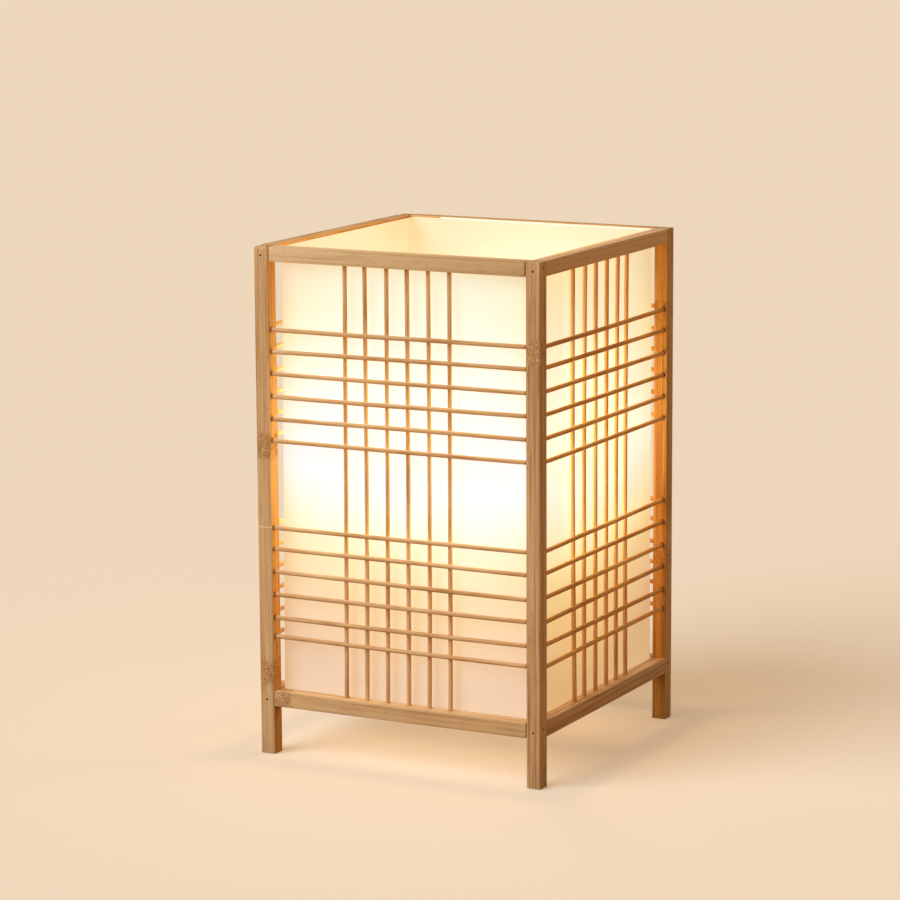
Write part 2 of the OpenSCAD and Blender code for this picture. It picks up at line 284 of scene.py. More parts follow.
# Painted glow: what multiplies the colour of faces that look at the shade, as its warm light would
BAMBOO_PAINTED_GLOW = (1.0, 0.84, 0.48, 1.0)
# The same painted glow, stronger, for the top rails
BAMBOO_PAINTED_GLOW_TOP = (1.35, 1.25, 0.95, 1.0)
# Patterns of the bamboo: scale, detail, roughness and distortion
FIBRES = (900, 4, 0.65)
BANDS = (460, 2)
STREAKS = (640, 2)
PATCHES = (22, 2)
SWIRL = (420, 3, 0.6, 2.5)
KNOT_EDGE = (160, 2)
FLECK_SCALE = 950
PIT_SCALE = 620
# How strongly they show
PATCH_SWING = 0.16
STREAK_SHARE = 0.34
FLECK_SHARE = 0.30
PIT_SHARE = 0.55
PALE_LINE_SHARE = 0.75
FLECK_DEPTH = 0.5
PIT_DEPTH = 1.2
KNOT_WANDER = 12 * MM


def bamboo(node, axis, seed):
    """Bamboo strip: long fibres, streaks, dark flecks and, at each knot, a swirled and pitted band."""
    f = Finish(f"bamboo_{node}", roughness=0.55, specular=0.05)
    knots = KNOTS.get(node)
    shifted = f.shifted(seed)
    fibres = f.noise(f.drawn_out(shifted, axis, 0.02), *FIBRES)
    bands = f.noise(f.drawn_out(shifted, axis, 0.012), *BANDS)
    streaks = f.fade(f.noise(f.drawn_out(shifted, axis, 0.008), *STREAKS), 0.54, 0.66)
    fleck = f.fade(f.cells(f.drawn_out(shifted, axis, 0.09), FLECK_SCALE), 0.10, 0.26, 1.0, 0.0)
    at = f.parts(f.place)[AXES[axis]]
    level = f.plus(f.times(fibres, 0.5), f.times(bands, 0.5))
    level = f.plus(level, f.swing(f.noise(shifted, *PATCHES), PATCH_SWING), TONE.get(node, 0.0))
    if knots:
        wander = f.swing(f.noise(shifted, *KNOT_EDGE), KNOT_WANDER)
        near = []
        for place, width in knots:
            away = f.size(f.minus(f.plus(at, wander), place))
            near.append(f.fade(away, width * 0.35, width, 1.0, 0.0))
        knot = f.math("MAXIMUM", *near)
        level = f.between(knot, level, f.minus(f.noise(shifted, *SWIRL), 0.03))
        pits = f.times(f.fade(f.cells(shifted, PIT_SCALE), 0.12, 0.34, 1.0, 0.0), knot)
    colour = f.ramp(level, ((0.38, BAMBOO_DEEP), (0.50, BAMBOO), (0.62, BAMBOO_PALE)))
    colour = f.mix(f.times(streaks, STREAK_SHARE), colour, BAMBOO_DEEP)
    colour = f.mix(f.times(fleck, FLECK_SHARE), colour, BAMBOO_DARK)
    height = f.minus(fibres, f.times(fleck, FLECK_DEPTH))
    if knots:
        colour = f.mix(f.times(pits, PIT_SHARE), colour, BAMBOO_DARK)
        height = f.minus(height, f.times(pits, PIT_DEPTH))
    # A fine pale line across the front face of some strips
    if node in PALE_LINE:
        face = f.math("LESS_THAN", f.parts(f.place)[1], -HALF + 0.4 * MM)
        away = f.size(f.minus(at, PALE_LINE[node]))
        line = f.fade(away, 0.25 * MM, 0.6 * MM, 1.0, 0.0)
        colour = f.mix(f.times(face, line, PALE_LINE_SHARE), colour, BAMBOO_PALE_LINE)
    # Painted fall-off of the daylight along the strip, lighter at its left end
    if node in PAINTED_FALLOFF:
        low, high = (corner[AXES[axis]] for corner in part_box(node))
        colour = f.tinted(colour, f.mix(f.fade(at, low, high, smooth=False), *PAINTED_FALLOFF[node]))
    # Faces that look at the shade carry its painted glow, stronger on the top rails
    if "bottom_rail" not in node:
        painted_glow = BAMBOO_PAINTED_GLOW_TOP if "top_rail" in node else BAMBOO_PAINTED_GLOW
        colour = f.mix(f.facing_in(), colour, f.tinted(colour, painted_glow))
    f.rough(fibres, 0.54, 0.40)
    return f.made(colour, height, 0.18 * MM, 0.8)


def painted_cut_shade():
    """The faces inside cut holes and housings, painted dark brown as shade."""
    f = Finish("bamboo_cut_shade", roughness=0.85, specular=0.1)
    colour = f.mix(f.noise(f.place, 1400, 3, 0.6), linear(62, 32, 14), linear(104, 60, 30))
    return f.made(colour, f.noise(f.place, 2600, 2), 0.1 * MM, 0.7)


STICK = linear(226, 182, 130)
STICK_PALE = linear(240, 204, 158)
STICK_DEEP = linear(190, 138, 86)
STICK_END_SHADE = linear(104, 56, 22)
# Painted fall-off of the daylight: what multiplies the sticks' wood along each axis, at the lamp's left and
# at its right
STICK_PAINTED_FALLOFF = {
    "x": ((0.97, 0.99, 1.03, 1.0), (0.87, 0.81, 0.74, 1.0)),
    "y": ((1.0, 1.0, 1.0, 1.0), (0.93, 0.77, 0.50, 1.0)),
    "z": ((1.0, 1.0, 1.0, 1.0), (1.0, 1.0, 1.0, 1.0)),
}
# Patterns of the sticks: scale, detail and roughness
STICK_FIBRES = (2200, 3, 0.6)
STICK_TONE = (90, 2)


def stick_wood(axis, seed):
    """Bamboo stick. A level one is darkened where it enters its posts, as painted shade of the holes."""
    f = Finish(f"stick_bamboo_{axis}", roughness=0.45, specular=0.03)
    shifted = f.shifted(seed)
    fibres = f.noise(f.drawn_out(shifted, axis, 0.025), *STICK_FIBRES)
    tone = f.noise(f.drawn_out(shifted, axis, 0.15), *STICK_TONE)
    level = f.plus(f.times(fibres, 0.6), f.times(tone, 0.4))
    colour = f.ramp(level, ((0.36, STICK_DEEP), (0.50, STICK), (0.64, STICK_PALE)))
    # Painted light and shade, fading from the lamp's left to its right
    across = f.fade(f.parts(f.place)[0], -HALF, HALF, smooth=False)
    colour = f.tinted(colour, f.mix(across, *STICK_PAINTED_FALLOFF[axis]))
    # Painted shade where a level stick goes into a post
    if axis != "z":
        at = f.size(f.parts(f.place)[AXES[axis]])
        colour = f.mix(f.fade(at, INNER - 2.6 * MM, INNER - 0.3 * MM, 0.0, 0.85), colour, STICK_END_SHADE)
    f.rough(fibres, 0.52, 0.38)
    return f.made(colour, fibres, 0.12 * MM, 0.8)


# How far the right and the back wall stand out from those of the solid sheet
RIGHT_OUT = 0.9 * MM
BACK_OUT = 1.2 * MM

# The glow of the lit shade, in linear light, by how far below the hottest height a point lies
GLOW = (
    (0.0, (0.87, 0.87, 0.79)),
    (0.018, (0.87, 0.86, 0.73)),
    (0.032, (0.87, 0.795, 0.64)),
    (0.057, (0.86, 0.69, 0.45)),
    (0.072, (0.835, 0.655, 0.335)),
    (0.088, (0.755, 0.56, 0.25)),
    (0.104, (0.715, 0.478, 0.186)),
    (0.13, (0.675, 0.42, 0.178)),
    (0.16, (0.59, 0.342, 0.138)),
)
FRONT_LIFT = (0.0, 0.010, 0.050, 1.0)
FRONT_LIFT_LOW = 0.7
FRONT_LIFT_TOP = 2.5
RIGHT_LIFT = (0.0, 0.050, 0.130, 1.0)
RIGHT_TINT = (1.0, 0.99, 0.92, 1.0)
# The inside of the walls: how much hotter than the outside, how much duller the back wall is than the left
# one, and the most that the corners cool
INSIDE_LIFT = 0.012
INSIDE_BACK = 0.009
INSIDE_CORNER = 0.030
# The glow by place: how far down it is given, its hottest height, how slowly it cools above that, where the
# bulb seems to stand, how far from there and how fast a wall cools sideways, and how much a fold cools
GLOW_REACH = 0.170
GLOW_HEIGHT = 0.212
GLOW_ABOVE = 0.49
GLOW_CENTRE = (0.010, -0.016)
GLOW_NEAR = 0.074
GLOW_FALL = 8.4
GLOW_FOLD = 0.004
GLOW_RIM = (0.80, 0.66, 0.45, 1.0)
GLOW_INSIDE = (1.0, 0.88, 0.76, 1.0)
# The most that a wall glows, so that with the daylight on it nothing turns plain white
MOST_FRONT = (0.73, 0.735, 0.74, 1.0)
MOST_LEFT = (0.80, 0.80, 0.80, 1.0)
MOST_RIGHT = (0.855, 0.855, 0.64, 1.0)
MOST_ELSEWHERE = (0.87, 0.88, 0.90, 1.0)
TWO_LAYERS = 0.93
PAPER = (0.34, 0.37, 0.40, 1.0)
# The sheet's clouds and pulp as scale, detail and roughness, and how much they shift the glow
CLOUDS = (30, 3, 0.55)
CLOUD_SWING = 0.012
PULP = (420, 4, 0.7)
PULP_SWING = 0.006


def shade_paper():
    f = Finish("shade_paper_lit", roughness=0.6, specular=0.25)
    x, y, z = f.parts(f.place)
    rise = f.minus(z, GLOW_HEIGHT)
    above = f.times(f.math("MAXIMUM", rise, 0.0), GLOW_ABOVE)
    below = f.math("MAXIMUM", f.times(rise, -1.0), 0.0)
    reach = f.distance(f.minus(x, GLOW_CENTRE[0]), f.minus(y, GLOW_CENTRE[1]))
    past = f.math("MAXIMUM", f.minus(reach, GLOW_NEAR), 0.0)
    facing_in = f.facing_in()
    most_aside = f.fade(facing_in, 0.0, 1.0, 1.0, INSIDE_CORNER, False)
    aside = f.math("MINIMUM", f.times(past, past, GLOW_FALL), most_aside)
    corner = f.math("MINIMUM", f.size(x), f.size(y))
    fold = f.fade(corner, SHADE_HALF - 18 * MM, SHADE_HALF - 3 * MM, 0.0, GLOW_FOLD)
    hotter = f.fade(y, SHADE_HALF - 12 * MM, SHADE_HALF - 4 * MM, -INSIDE_LIFT, INSIDE_BACK - INSIDE_LIFT)
    inside = f.times(facing_in, hotter)
    cloud = f.swing(f.noise(f.place, *CLOUDS), CLOUD_SWING)
    pulp = f.swing(f.noise(f.place, *PULP), PULP_SWING)
    total = f.plus(above, below, aside, fold, inside, cloud, pulp)
    stops = tuple((at / GLOW_REACH, colour + (1.0,)) for at, colour in GLOW)
    glow = f.ramp(f.math("DIVIDE", total, GLOW_REACH, clamp=True), stops)
    # 1 on the outside of the front, left and right wall
    front = f.fade(y, -SHADE_HALF + 3 * MM, -SHADE_HALF + 0.8 * MM)
    left = f.fade(x, -SHADE_HALF + 6 * MM, -SHADE_HALF + 3 * MM)
    right = f.fade(x, SHADE_HALF - 1 * MM, SHADE_HALF - 0.2 * MM)
    # The front wall is lifted, least at its foot and most at its top, and the right one at its far top
    rising = f.fade(z, 0.14, 0.22, FRONT_LIFT_LOW)
    topping = f.fade(z, 0.325, 0.35, 1.0, FRONT_LIFT_TOP)
    lift = f.tinted(f.mix(front, BLACK, FRONT_LIFT), f.grey(f.times(rising, topping)))
    glow = f.mix(1.0, glow, lift, "ADD")
    far = f.times(f.fade(y, -0.05, 0.08, 0.2), f.fade(z, 0.295, 0.345, 0.35))
    glow = f.mix(f.times(right, far), glow, f.mix(1.0, glow, RIGHT_LIFT, "ADD"))
    glow = f.mix(right, glow, f.tinted(glow, RIGHT_TINT))
    glow = f.mix(facing_in, glow, f.tinted(glow, GLOW_INSIDE))
    most = f.mix(left, f.mix(right, MOST_ELSEWHERE, MOST_RIGHT), MOST_LEFT)
    glow = f.vector("MINIMUM", glow, f.mix(front, most, MOST_FRONT))
    doubled = f.math("GREATER_THAN", y, SHADE_HALF + BACK_OUT + 0.02 * MM)
    glow = f.mix(doubled, glow, f.tinted(glow, (TWO_LAYERS, TWO_LAYERS, TWO_LAYERS, 1.0)))
    nx, ny, _ = f.parts(f.turned)
    crease = f.fade(f.size(f.times(nx, ny)), 0.1, 0.35, 0.0, 0.15)
    rim = f.fade(z, SHADE_TOP - 1.6 * MM, SHADE_TOP - 1.1 * MM, 0.0, 0.8)
    glow = f.mix(f.math("MAXIMUM", crease, rim), glow, GLOW_RIM)
    f.shine(glow)
    return f.made(PAPER, f.noise(f.place, 900, 3, 0.6), 0.06 * MM, 0.6)


# How much darker the clouds in a moulded piece are
MOULDED_CLOUD = 0.92


def dimmed(colour, share):
    return tuple(c * share for c in colour[:3]) + (1.0,)


def moulded(name, colour, roughness):
    """Moulded plastic or fired ceramic: an even colour, faintly cloudy, and a fine orange-peel surface."""
    f = Finish(name, roughness=roughness)
    cloudy = f.mix(f.noise(f.place, 120), dimmed(colour, MOULDED_CLOUD), colour)
    f.rough(f.noise(f.place, 400, 2), roughness - 0.06, roughness + 0.08)
    return f.made(cloudy, f.noise(f.place, 1500, 2), 0.04 * MM, 0.5)


def metal(name, colour, roughness, dull):
    """Plain metal with fine scratches round it and darker, duller spots."""
    f = Finish(name, roughness=roughness, metallic=1.0)
    spots = f.noise(f.place, 260, 4, 0.6)
    lines = f.noise(f.vector("MULTIPLY", f.place, (0.2, 0.2, 9.0)), 900, 2)
    f.rough(lines, roughness - 0.08, roughness + 0.14)
    spotted = f.mix(f.fade(spots, 0.45, 0.7), colour, dimmed(colour, dull))
    return f.made(spotted, lines, 0.03 * MM, 0.5)


DOME_GLASS = (0.35, 0.34, 0.31, 1.0)
DOME_GLOW = ((0.0, linear(250, 226, 170)), (0.35, linear(252, 242, 214)), (1.0, linear(250, 248, 240)))
DOME_LEVEL = 0.9


def lit_dome():
    f = Finish("bulb_diffuser_lit", roughness=0.5, specular=0.3)
    low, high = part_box("bulb_dome")
    rise = f.fade(f.parts(f.place)[2], low.z, high.z, smooth=False)
    rise = f.plus(rise, f.times(f.noise(f.place, 60, 2), 0.06))
    f.shine(f.ramp(rise, DOME_GLOW), DOME_LEVEL)
    return f.made(DOME_GLASS, f.noise(f.place, 1200, 2), 0.03 * MM, 0.5)


def put(node, material):
    mesh = cad[node].data
    mesh.materials.clear()
    mesh.materials.append(material)


def piece(name, mesh, node, body="lamp"):
    """A new piece, on its body, in place of a node."""
    made = placed(name, mesh)
    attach(made, body)
    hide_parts(node)
    return made


def face_outward(bm):
    bm.normal_update()
    bmesh.ops.recalc_face_normals(bm, faces=bm.faces[:])


def smoothed(mesh, sharp=35):
    """The mesh shaded smooth, but for edges sharper than so many degrees."""
    mesh.shade_smooth()
    mesh.set_sharp_from_angle(angle=math.radians(sharp))
    return mesh


def plain_mesh(bm, name, material):
    mesh = bpy.data.meshes.new(name)
    bm.to_mesh(mesh)
    bm.free()
    mesh.materials.append(material)
    return mesh


def mesh_of(bm, name, material, sharp=35):
    bm.normal_update()
    return smoothed(plain_mesh(bm, name, material), sharp)


def band(bm, near, far):
    """Faces between two rings of points."""
    for k in range(len(near)):
        n = (k + 1) % len(near)
        bm.faces.new((near[k], near[n], far[n], far[k]))


def skin(bm, rings):
    """A closed bar through rings of points."""
    for near, far in zip(rings, rings[1:]):
        band(bm, near, far)
    bm.faces.new(rings[0][::-1])
    bm.faces.new(rings[-1])


# Roundings: steps round an edge along the bar and round its ends, the edges' radius, and the least of it
CORNER_STEPS = 4
END_STEPS = 5
EASE = 0.45 * MM
LEAST_CORNER = 0.15 * MM
PIN_SIDES = 20


def rounded_bar(low, high, axis, ends):
    """A square bar with every edge rounded. ends are the roundings at its low and high end along axis."""
    others = ((axis + 1) % 3, (axis + 2) % 3)
    middle = [(low[i] + high[i]) / 2 for i in others]
    half = [(high[i] - low[i]) / 2 for i in others]
    turns = [math.pi / 2 * k / END_STEPS for k in range(END_STEPS + 1)]
    places = [(low[axis] + ends[0] * (1 - math.sin(a)), ends[0] * (1 - math.cos(a))) for a in turns[::-1]]
    places += [(high[axis] - ends[1] * (1 - math.sin(a)), ends[1] * (1 - math.cos(a))) for a in turns]
    bm = bmesh.new()
    rings = []
    for at, inset in places:
        corner = max(EASE - inset, LEAST_CORNER)
        ring = []
        for sx, sy, start in ((1, 1, 0), (-1, 1, 90), (-1, -1, 180), (1, -1, 270)):
            for k in range(CORNER_STEPS + 1):
                a = math.radians(start + 90 * k / CORNER_STEPS)
                place = [0.0, 0.0, 0.0]
                place[axis] = at
                place[others[0]] = middle[0] + sx * (half[0] - inset - corner) + corner * math.cos(a)
                place[others[1]] = middle[1] + sy * (half[1] - inset - corner) + corner * math.sin(a)
                ring.append(bm.verts.new(place))
        rings.append(ring)
    skin(bm, rings)
    return bm


def angles(count):
    return [2 * math.pi * k / count for k in range(count)]


def ring_round(bm, middle, flat, other, radii):
    """Points at these distances round middle."""
    ring = []
    for a, r in zip(angles(len(radii)), radii):
        ring.append(bm.verts.new(middle + (flat * math.cos(a) + other * math.sin(a)) * r))
    return ring


def pin(bm, start, end, radius):
    """A closed cylinder from start to end, added to bm."""
    axis = (end - start).normalized()
    flat = axis.orthogonal().normalized()
    other = axis.cross(flat)
    skin(bm, [ring_round(bm, place, flat, other, [radius] * PIN_SIDES) for place in (start, end)])


def cut(bm, cutters, name, wood, cut_shade):
    """bm less each cutter in turn, as a mesh: wood outside, and the dark material for painted shade where
    it was cut.
    """
    made_here = []
    for part, material in [(bm, wood)] + [(cutter, cut_shade) for cutter in cutters]:
        face_outward(part)
        made_here.append(placed(name, plain_mesh(part, name, material)))
    solid = made_here[0]
    for tool in made_here[1:]:
        step = solid.modifiers.new("cut", "BOOLEAN")
        step.operation = "DIFFERENCE"
        step.solver = "EXACT"
        step.material_mode = "TRANSFER"
        step.object = tool
    graph = bpy.context.evaluated_depsgraph_get()
    mesh = bpy.data.meshes.new_from_object(solid.evaluated_get(graph))
    for made in made_here:
        old = made.data
        bpy.data.objects.remove(made)
        bpy.data.meshes.remove(old)
    mesh.name = name
    return smoothed(mesh)


# How far each stick's two ends stray from an even spacing, in millimetres, read off the photograph for
# the front and the right side. Level sticks: first end, other end, from the lowest up.
STRAY_LEVEL = {
    ("front", "lower"): ((0.9, 0.2), (-1.4, -1.3), (-0.6, -0.5), (0.0, -1.0), (0.5, 0.4), (-0.2, 0.4)),
    ("front", "upper"): ((-0.4, -0.1), (-0.9, -0.3), (-0.8, -0.1), (-0.5, -0.2), (-0.9, 0.1), (-1.2, -0.5)),
    ("right", "lower"): ((-1.8, -0.9), (-2.2, -2.8), (-2.1, -1.2), (-0.8, -1.3), (0.1, 0.1), (-0.3, 0.6)),
    ("right", "upper"): ((-0.8, -1.1), (-0.7, -1.4), (-0.3, -1.4), (-0.2, -1.2), (0.1, -0.4), (-1.2, -1.1)),
}
# Upright sticks: foot, top, from the left seen from outside
STRAY_UPRIGHT = {
    "front": ((-0.6, 1.5), (-1.0, 0.1), (-1.4, 0.3), (-1.7, -0.7), (-2.3, -1.2), (-2.7, -1.8)),
    "right": ((1.6, -1.8), (0.7, 1.2), (2.1, 1.6), (3.2, 3.0), (3.2, 4.4), (2.4, 2.7)),
}
# How far the middle of each upright bows to the right seen from outside
BOW_UPRIGHT = {
    "front": (0.4, 0.6, 0.3, 0.3, 0.6, 0.3),
    "right": (-1.6, -1.5, -0.6, -0.6, -1.6, -1.7),
}
# In millimetres: the most that the sticks of the two sides out of sight stray and that their uprights bow,
# how far a level stick sags or arches, and how much the bows above vary
MOST_STRAY = 0.9
MOST_BOW = 0.35
LEVEL_BOW = (-0.35, 0.2)
KNOWN_BOW_SWING = 0.1
STICKS = 6
GROUPS = ("lower", "upper")
low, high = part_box("uprights_front")
STICK_R = (high.y - low.y) / 2
UPRIGHT_DEPTH = low.y + HALF + STICK_R
LEVEL_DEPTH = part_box("lower_slats_front")[0].y + HALF + STICK_R
HOLE_R = STICK_R + 0.2 * MM
RAIL_HOLE_R = STICK_R + 0.05 * MM
# How deep a level stick sits and its holes are, how much an upright is shorter than its solid, and how much
# of a stick's end is rounded
SEAT = 3.6 * MM
HOLE_DEEP = 4.2 * MM
UPRIGHT_SHORT = 0.4 * MM
STICK_EASE = 0.4 * MM
STICK_RINGS = 34
STICK_SIDES = 14
# How much a stick's thickness varies along it and round it, how much thinner its ends are, and its wander
SWELL = 0.035
OVAL = 0.02
END_SHRINK = 0.8
WANDER = 0.25 * MM


def on_side(side, x, y, z):
    """A point drawn on the front side, turned to another side."""
    turn = {"front": (x, y), "right": (-y, x), "back": (-x, -y), "left": (y, -x)}[side]
    return Vector((turn[0], turn[1], z))


def stray(key):
    """How far the two ends of each stick of a group stray."""
    known = STRAY_LEVEL.get(key) or STRAY_UPRIGHT.get(key)
    if known:
        return known
    most = MOST_STRAY
    return tuple((random.uniform(-most, most), random.uniform(-most, most)) for _ in range(STICKS))


def spaced(node, axis, key):
    """Where a node's sticks lie along an axis at their two ends: evenly spaced, but for their strays."""
    low, high = (corner[axis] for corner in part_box(node))
    first, last = low + STICK_R, high - STICK_R
    step = (last - first) / (STICKS - 1)
    return [(first + k * step + a * MM, first + k * step + b * MM) for k, (a, b) in enumerate(stray(key))]


LEVEL = {(s, group): spaced(f"{group}_slats_{s}", 2, (s, group)) for s in SIDES for group in GROUPS}
UPRIGHT = {s: spaced("uprights_front", 0, s) for s in SIDES}


def stick(bm, start, end, bow, seed):
    """A slightly bowed and uneven round stick from start to end, added to bm."""
    axis = (end - start).normalized()
    flat = bow.normalized() if bow.length > 0 else axis.orthogonal().normalized()
    flat = (flat - axis * flat.dot(axis)).normalized()
    other = axis.cross(flat)
    ease = STICK_EASE / (end - start).length
    rings = []
    for t in [0.0, ease] + [i / STICK_RINGS for i in range(1, STICK_RINGS)] + [1.0 - ease, 1.0]:
        wave = noise.noise(Vector((seed * 3.1, t * 3.0, 0.5)))
        swell = 1 + SWELL * noise.noise(Vector((seed * 1.7, t * 7.0, 9.5)))
        if t in (0.0, 1.0):
            swell *= END_SHRINK
        middle = start.lerp(end, t) + bow * (4 * t * (1 - t)) + flat * wave * WANDER * math.sin(math.pi * t)
        radii = [STICK_R * swell * (1 + OVAL * math.cos(2 * a + seed)) for a in angles(STICK_SIDES)]
        rings.append(ring_round(bm, middle, flat, other, radii))
    skin(bm, rings)


def make_sticks():
    woods = {axis: stick_wood(axis, k + 2) for k, axis in enumerate("xyz")}
    reach = INNER + SEAT
    for side in SIDES:
        wood = woods[ALONG[side]]
        for group in GROUPS:
            bm = bmesh.new()
            for z0, z1 in LEVEL[side, group]:
                start = on_side(side, -reach, -HALF + LEVEL_DEPTH, z0)
                end = on_side(side, reach, -HALF + LEVEL_DEPTH, z1)
                bow = Vector((0, 0, random.uniform(*LEVEL_BOW) * MM))
                stick(bm, start, end, bow, random.uniform(0, 90))
            name = f"{group}_slats_{side}"
            piece(f"{group}_sticks_{side}", mesh_of(bm, name, wood, 60), name)
        bm = bmesh.new()
        name = f"uprights_{side}"
        low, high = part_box(name)
        sideways = on_side(side, 1, 0, 0)
        known = BOW_UPRIGHT.get(side)
        for (x0, x1), bow in zip(UPRIGHT[side], known or (0.0,) * STICKS):
            start = on_side(side, x0, -HALF + UPRIGHT_DEPTH, low.z + UPRIGHT_SHORT)
            end = on_side(side, x1, -HALF + UPRIGHT_DEPTH, high.z - UPRIGHT_SHORT)
            bow += KNOWN_BOW_SWING * random.uniform(-1, 1) if known else random.uniform(-MOST_BOW, MOST_BOW)
            stick(bm, start, end, sideways * bow * MM, random.uniform(0, 90))
        piece(f"upright_sticks_{side}", mesh_of(bm, name, woods["z"], 60), name)


# Knots of each strip: place along it and half its width
KNOTS = {
    "post_front_left": ((0.222, 0.012), (0.058, 0.013)),
    "post_front_right": ((0.301, 0.012),),
    "post_back_right": ((0.302, 0.010), (0.120, 0.011)),
    "post_back_left": ((0.174, 0.011), (0.330, 0.010)),
    "bottom_rail_front": ((-0.092, 0.009),),
    "top_rail_back": ((0.031, 0.009),),
    "bottom_rail_left": ((-0.047, 0.010),),
    "top_rail_left": ((0.061, 0.009),),
    "bottom_rail_back": ((0.058, 0.009),),
}
# How much lighter than the rest a strip is
TONE = {"top_rail_front": 0.17, "top_rail_right": 0.15, "bottom_rail_front": 0.08, "post_front_left": 0.06}
# Painted light fall-off: colours that multiply those of a strip at its low and its high end, lighter at the
# left
PAINTED_FALLOFF = {
    "top_rail_front": ((1.15, 1.27, 1.42, 1.0), (0.87, 0.88, 0.84, 1.0)),
    "bottom_rail_front": ((1.04, 1.05, 1.04, 1.0), (0.95, 0.93, 0.87, 1.0)),
}
# The height of a fine pale line across a strip's front face
PALE_LINE = {"post_front_left": 0.1638}
# How round the worn tops of posts are, and how much wider than its solid a post is towards the right
ROUND_TOPS = {"post_front_left": 2.4 * MM, "post_back_left": 2.2 * MM}
WIDER = {"post_front_left": 0.5 * MM}
# How far a rail's two ends stay off the posts, and how round these ends are
RAIL_GAPS = {"top_rail_front": (0.8 * MM, 0.8 * MM), "bottom_rail_front": (0.6 * MM, 0.6 * MM)}
RAIL_GAP = 0.12 * MM
RAIL_ENDS = {"top_rail_front": (1.5 * MM, 0.9 * MM)}
# The nail holes' radius and depth, the gap round the cross-bar, and how near counts as on a strip
NAIL_CUT_R = 0.8 * MM
NAIL_CUT = 0.32 * MM
BAR_GAP = 0.1 * MM
TOUCH = 0.1 * MM
POSTS = ("post_front_left", "post_front_right", "post_back_right", "post_back_left")
RAIL_SEEDS = {"top": 40, "bottom": 70}


def stick_holes(cutter, post_side):
    """Holes for the level sticks in the post at the left end of a side, on both sides that meet there."""
    before = SIDES[SIDES.index(post_side) - 1]
    deep = INNER + HOLE_DEEP
    out = INNER - MM
    y = -HALF + LEVEL_DEPTH
    for group in GROUPS:
        for first, _ in LEVEL[post_side, group]:
            pin(cutter, on_side(post_side, -deep, y, first), on_side(post_side, -out, y, first), HOLE_R)
        for _, last in LEVEL[before, group]:
            pin(cutter, on_side(before, deep, y, last), on_side(before, out, y, last), HOLE_R)


def nail_places():
    """The box of each nail, in the order of the solid's points."""
    boxes = []
    bm = bmesh.new()
    bm.from_mesh(cad["rail_nails"].data)
    bmesh.ops.remove_doubles(bm, verts=bm.verts, dist=1e-5)
    seen = set()
    for start in bm.verts:
        if start in seen:
            continue
        seen.add(start)
        group = [start]
        for v in group:
            near = {edge.other_vert(v) for edge in v.link_edges} - seen
            seen |= near
            group.extend(near)
        points = [v.co for v in group]
        boxes.append((Vector(map(min, *points)), Vector(map(max, *points))))
    bm.free()
    return boxes


def nail_holes(cutter, low, high, nails):
    """Shallow holes where nails enter the outer faces of the post between low and high."""
    for a, b in nails:
        face = (a + b) / 2
        along = 0 if b.x - a.x > b.y - a.y else 1
        outward = 1 if face[along] > 0 else -1
        face[along] = HALF * outward
        if all(low[i] - TOUCH < face[i] < high[i] + TOUCH for i in range(3)):
            inward = Vector((0, 0, 0))
            inward[along] = -outward
            pin(cutter, face - inward * MM, face + inward * NAIL_CUT, NAIL_CUT_R)


def make_posts(cut_shade):
    nails = nail_places()
    for k, (name, side) in enumerate(zip(POSTS, SIDES)):
        low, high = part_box(name)
        wide = Vector((high.x + WIDER.get(name, 0.0), high.y, high.z))
        bar = rounded_bar(low, wide, 2, (EASE, ROUND_TOPS.get(name, EASE)))
        holes = bmesh.new()
        stick_holes(holes, side)
        nail_holes(holes, low, high, nails)
        strip = cut(bar, [holes], name, bamboo(name, "z", k * 5 + 3), cut_shade)
        piece(f"{name}_strip", strip, name)


def bar_housing():
    """What the cross-bar's housing takes out of the two side rails."""
    low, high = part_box("cross_bar")
    housing = bmesh.new()
    for v in bmesh.ops.create_cube(housing, size=1)["verts"]:
        x = v.co.x * 2 * (high.x + BAR_GAP)
        y = v.co.y * (high.y - low.y + 2 * BAR_GAP)
        v.co = Vector((x, y, low.z - MM + (v.co.z + 0.5) * (high.z - low.z + MM + BAR_GAP)))
    return housing


def make_rails(cut_shade):
    for level in ("top", "bottom"):
        for k, side in enumerate(SIDES):
            name = f"{level}_rail_{side}"
            low, high = (corner.copy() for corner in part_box(name))
            axis = ALONG[side]
            gaps = RAIL_GAPS.get(name, (RAIL_GAP, RAIL_GAP))
            low[AXES[axis]] = -INNER + gaps[0]
            high[AXES[axis]] = INNER - gaps[1]
            bar = rounded_bar(low, high, AXES[axis], RAIL_ENDS.get(name, (EASE, EASE)))
            holes = bmesh.new()
            cutters = [holes]
            start, end = (low.z - MM, low.z + 4 * MM) if level == "top" else (high.z - 4 * MM, high.z + MM)
            y = -HALF + UPRIGHT_DEPTH
            for foot, top in UPRIGHT[side]:
                x = top if level == "top" else foot
                pin(holes, on_side(side, x, y, start), on_side(side, x, y, end), RAIL_HOLE_R)
            if level == "bottom" and side in ("left", "right"):
                cutters.append(bar_housing())
            strip = cut(bar, cutters, name, bamboo(name, axis, k * 7 + RAIL_SEEDS[level]), cut_shade)
            piece(f"{name}_strip", strip, name)


def make_frame():
    # Cut faces are painted dark as shade
    cut_shade = painted_cut_shade()
    make_posts(cut_shade)
    make_rails(cut_shade)
    put("rail_nails", metal("nail_steel", linear(80, 60, 46), 0.6, 0.5))
    put("cross_bar", bamboo("cross_bar", "x", 91))


# The folded sheet's thickness and the radius of its folds at mid-thickness
SHEET_T = 0.5 * MM
FOLD_R = 1.75 * MM
# How far the left wall leans in at the sheet's foot and at its top
LEAN_FOOT = -0.9 * MM
LEAN_TOP = 2.2 * MM
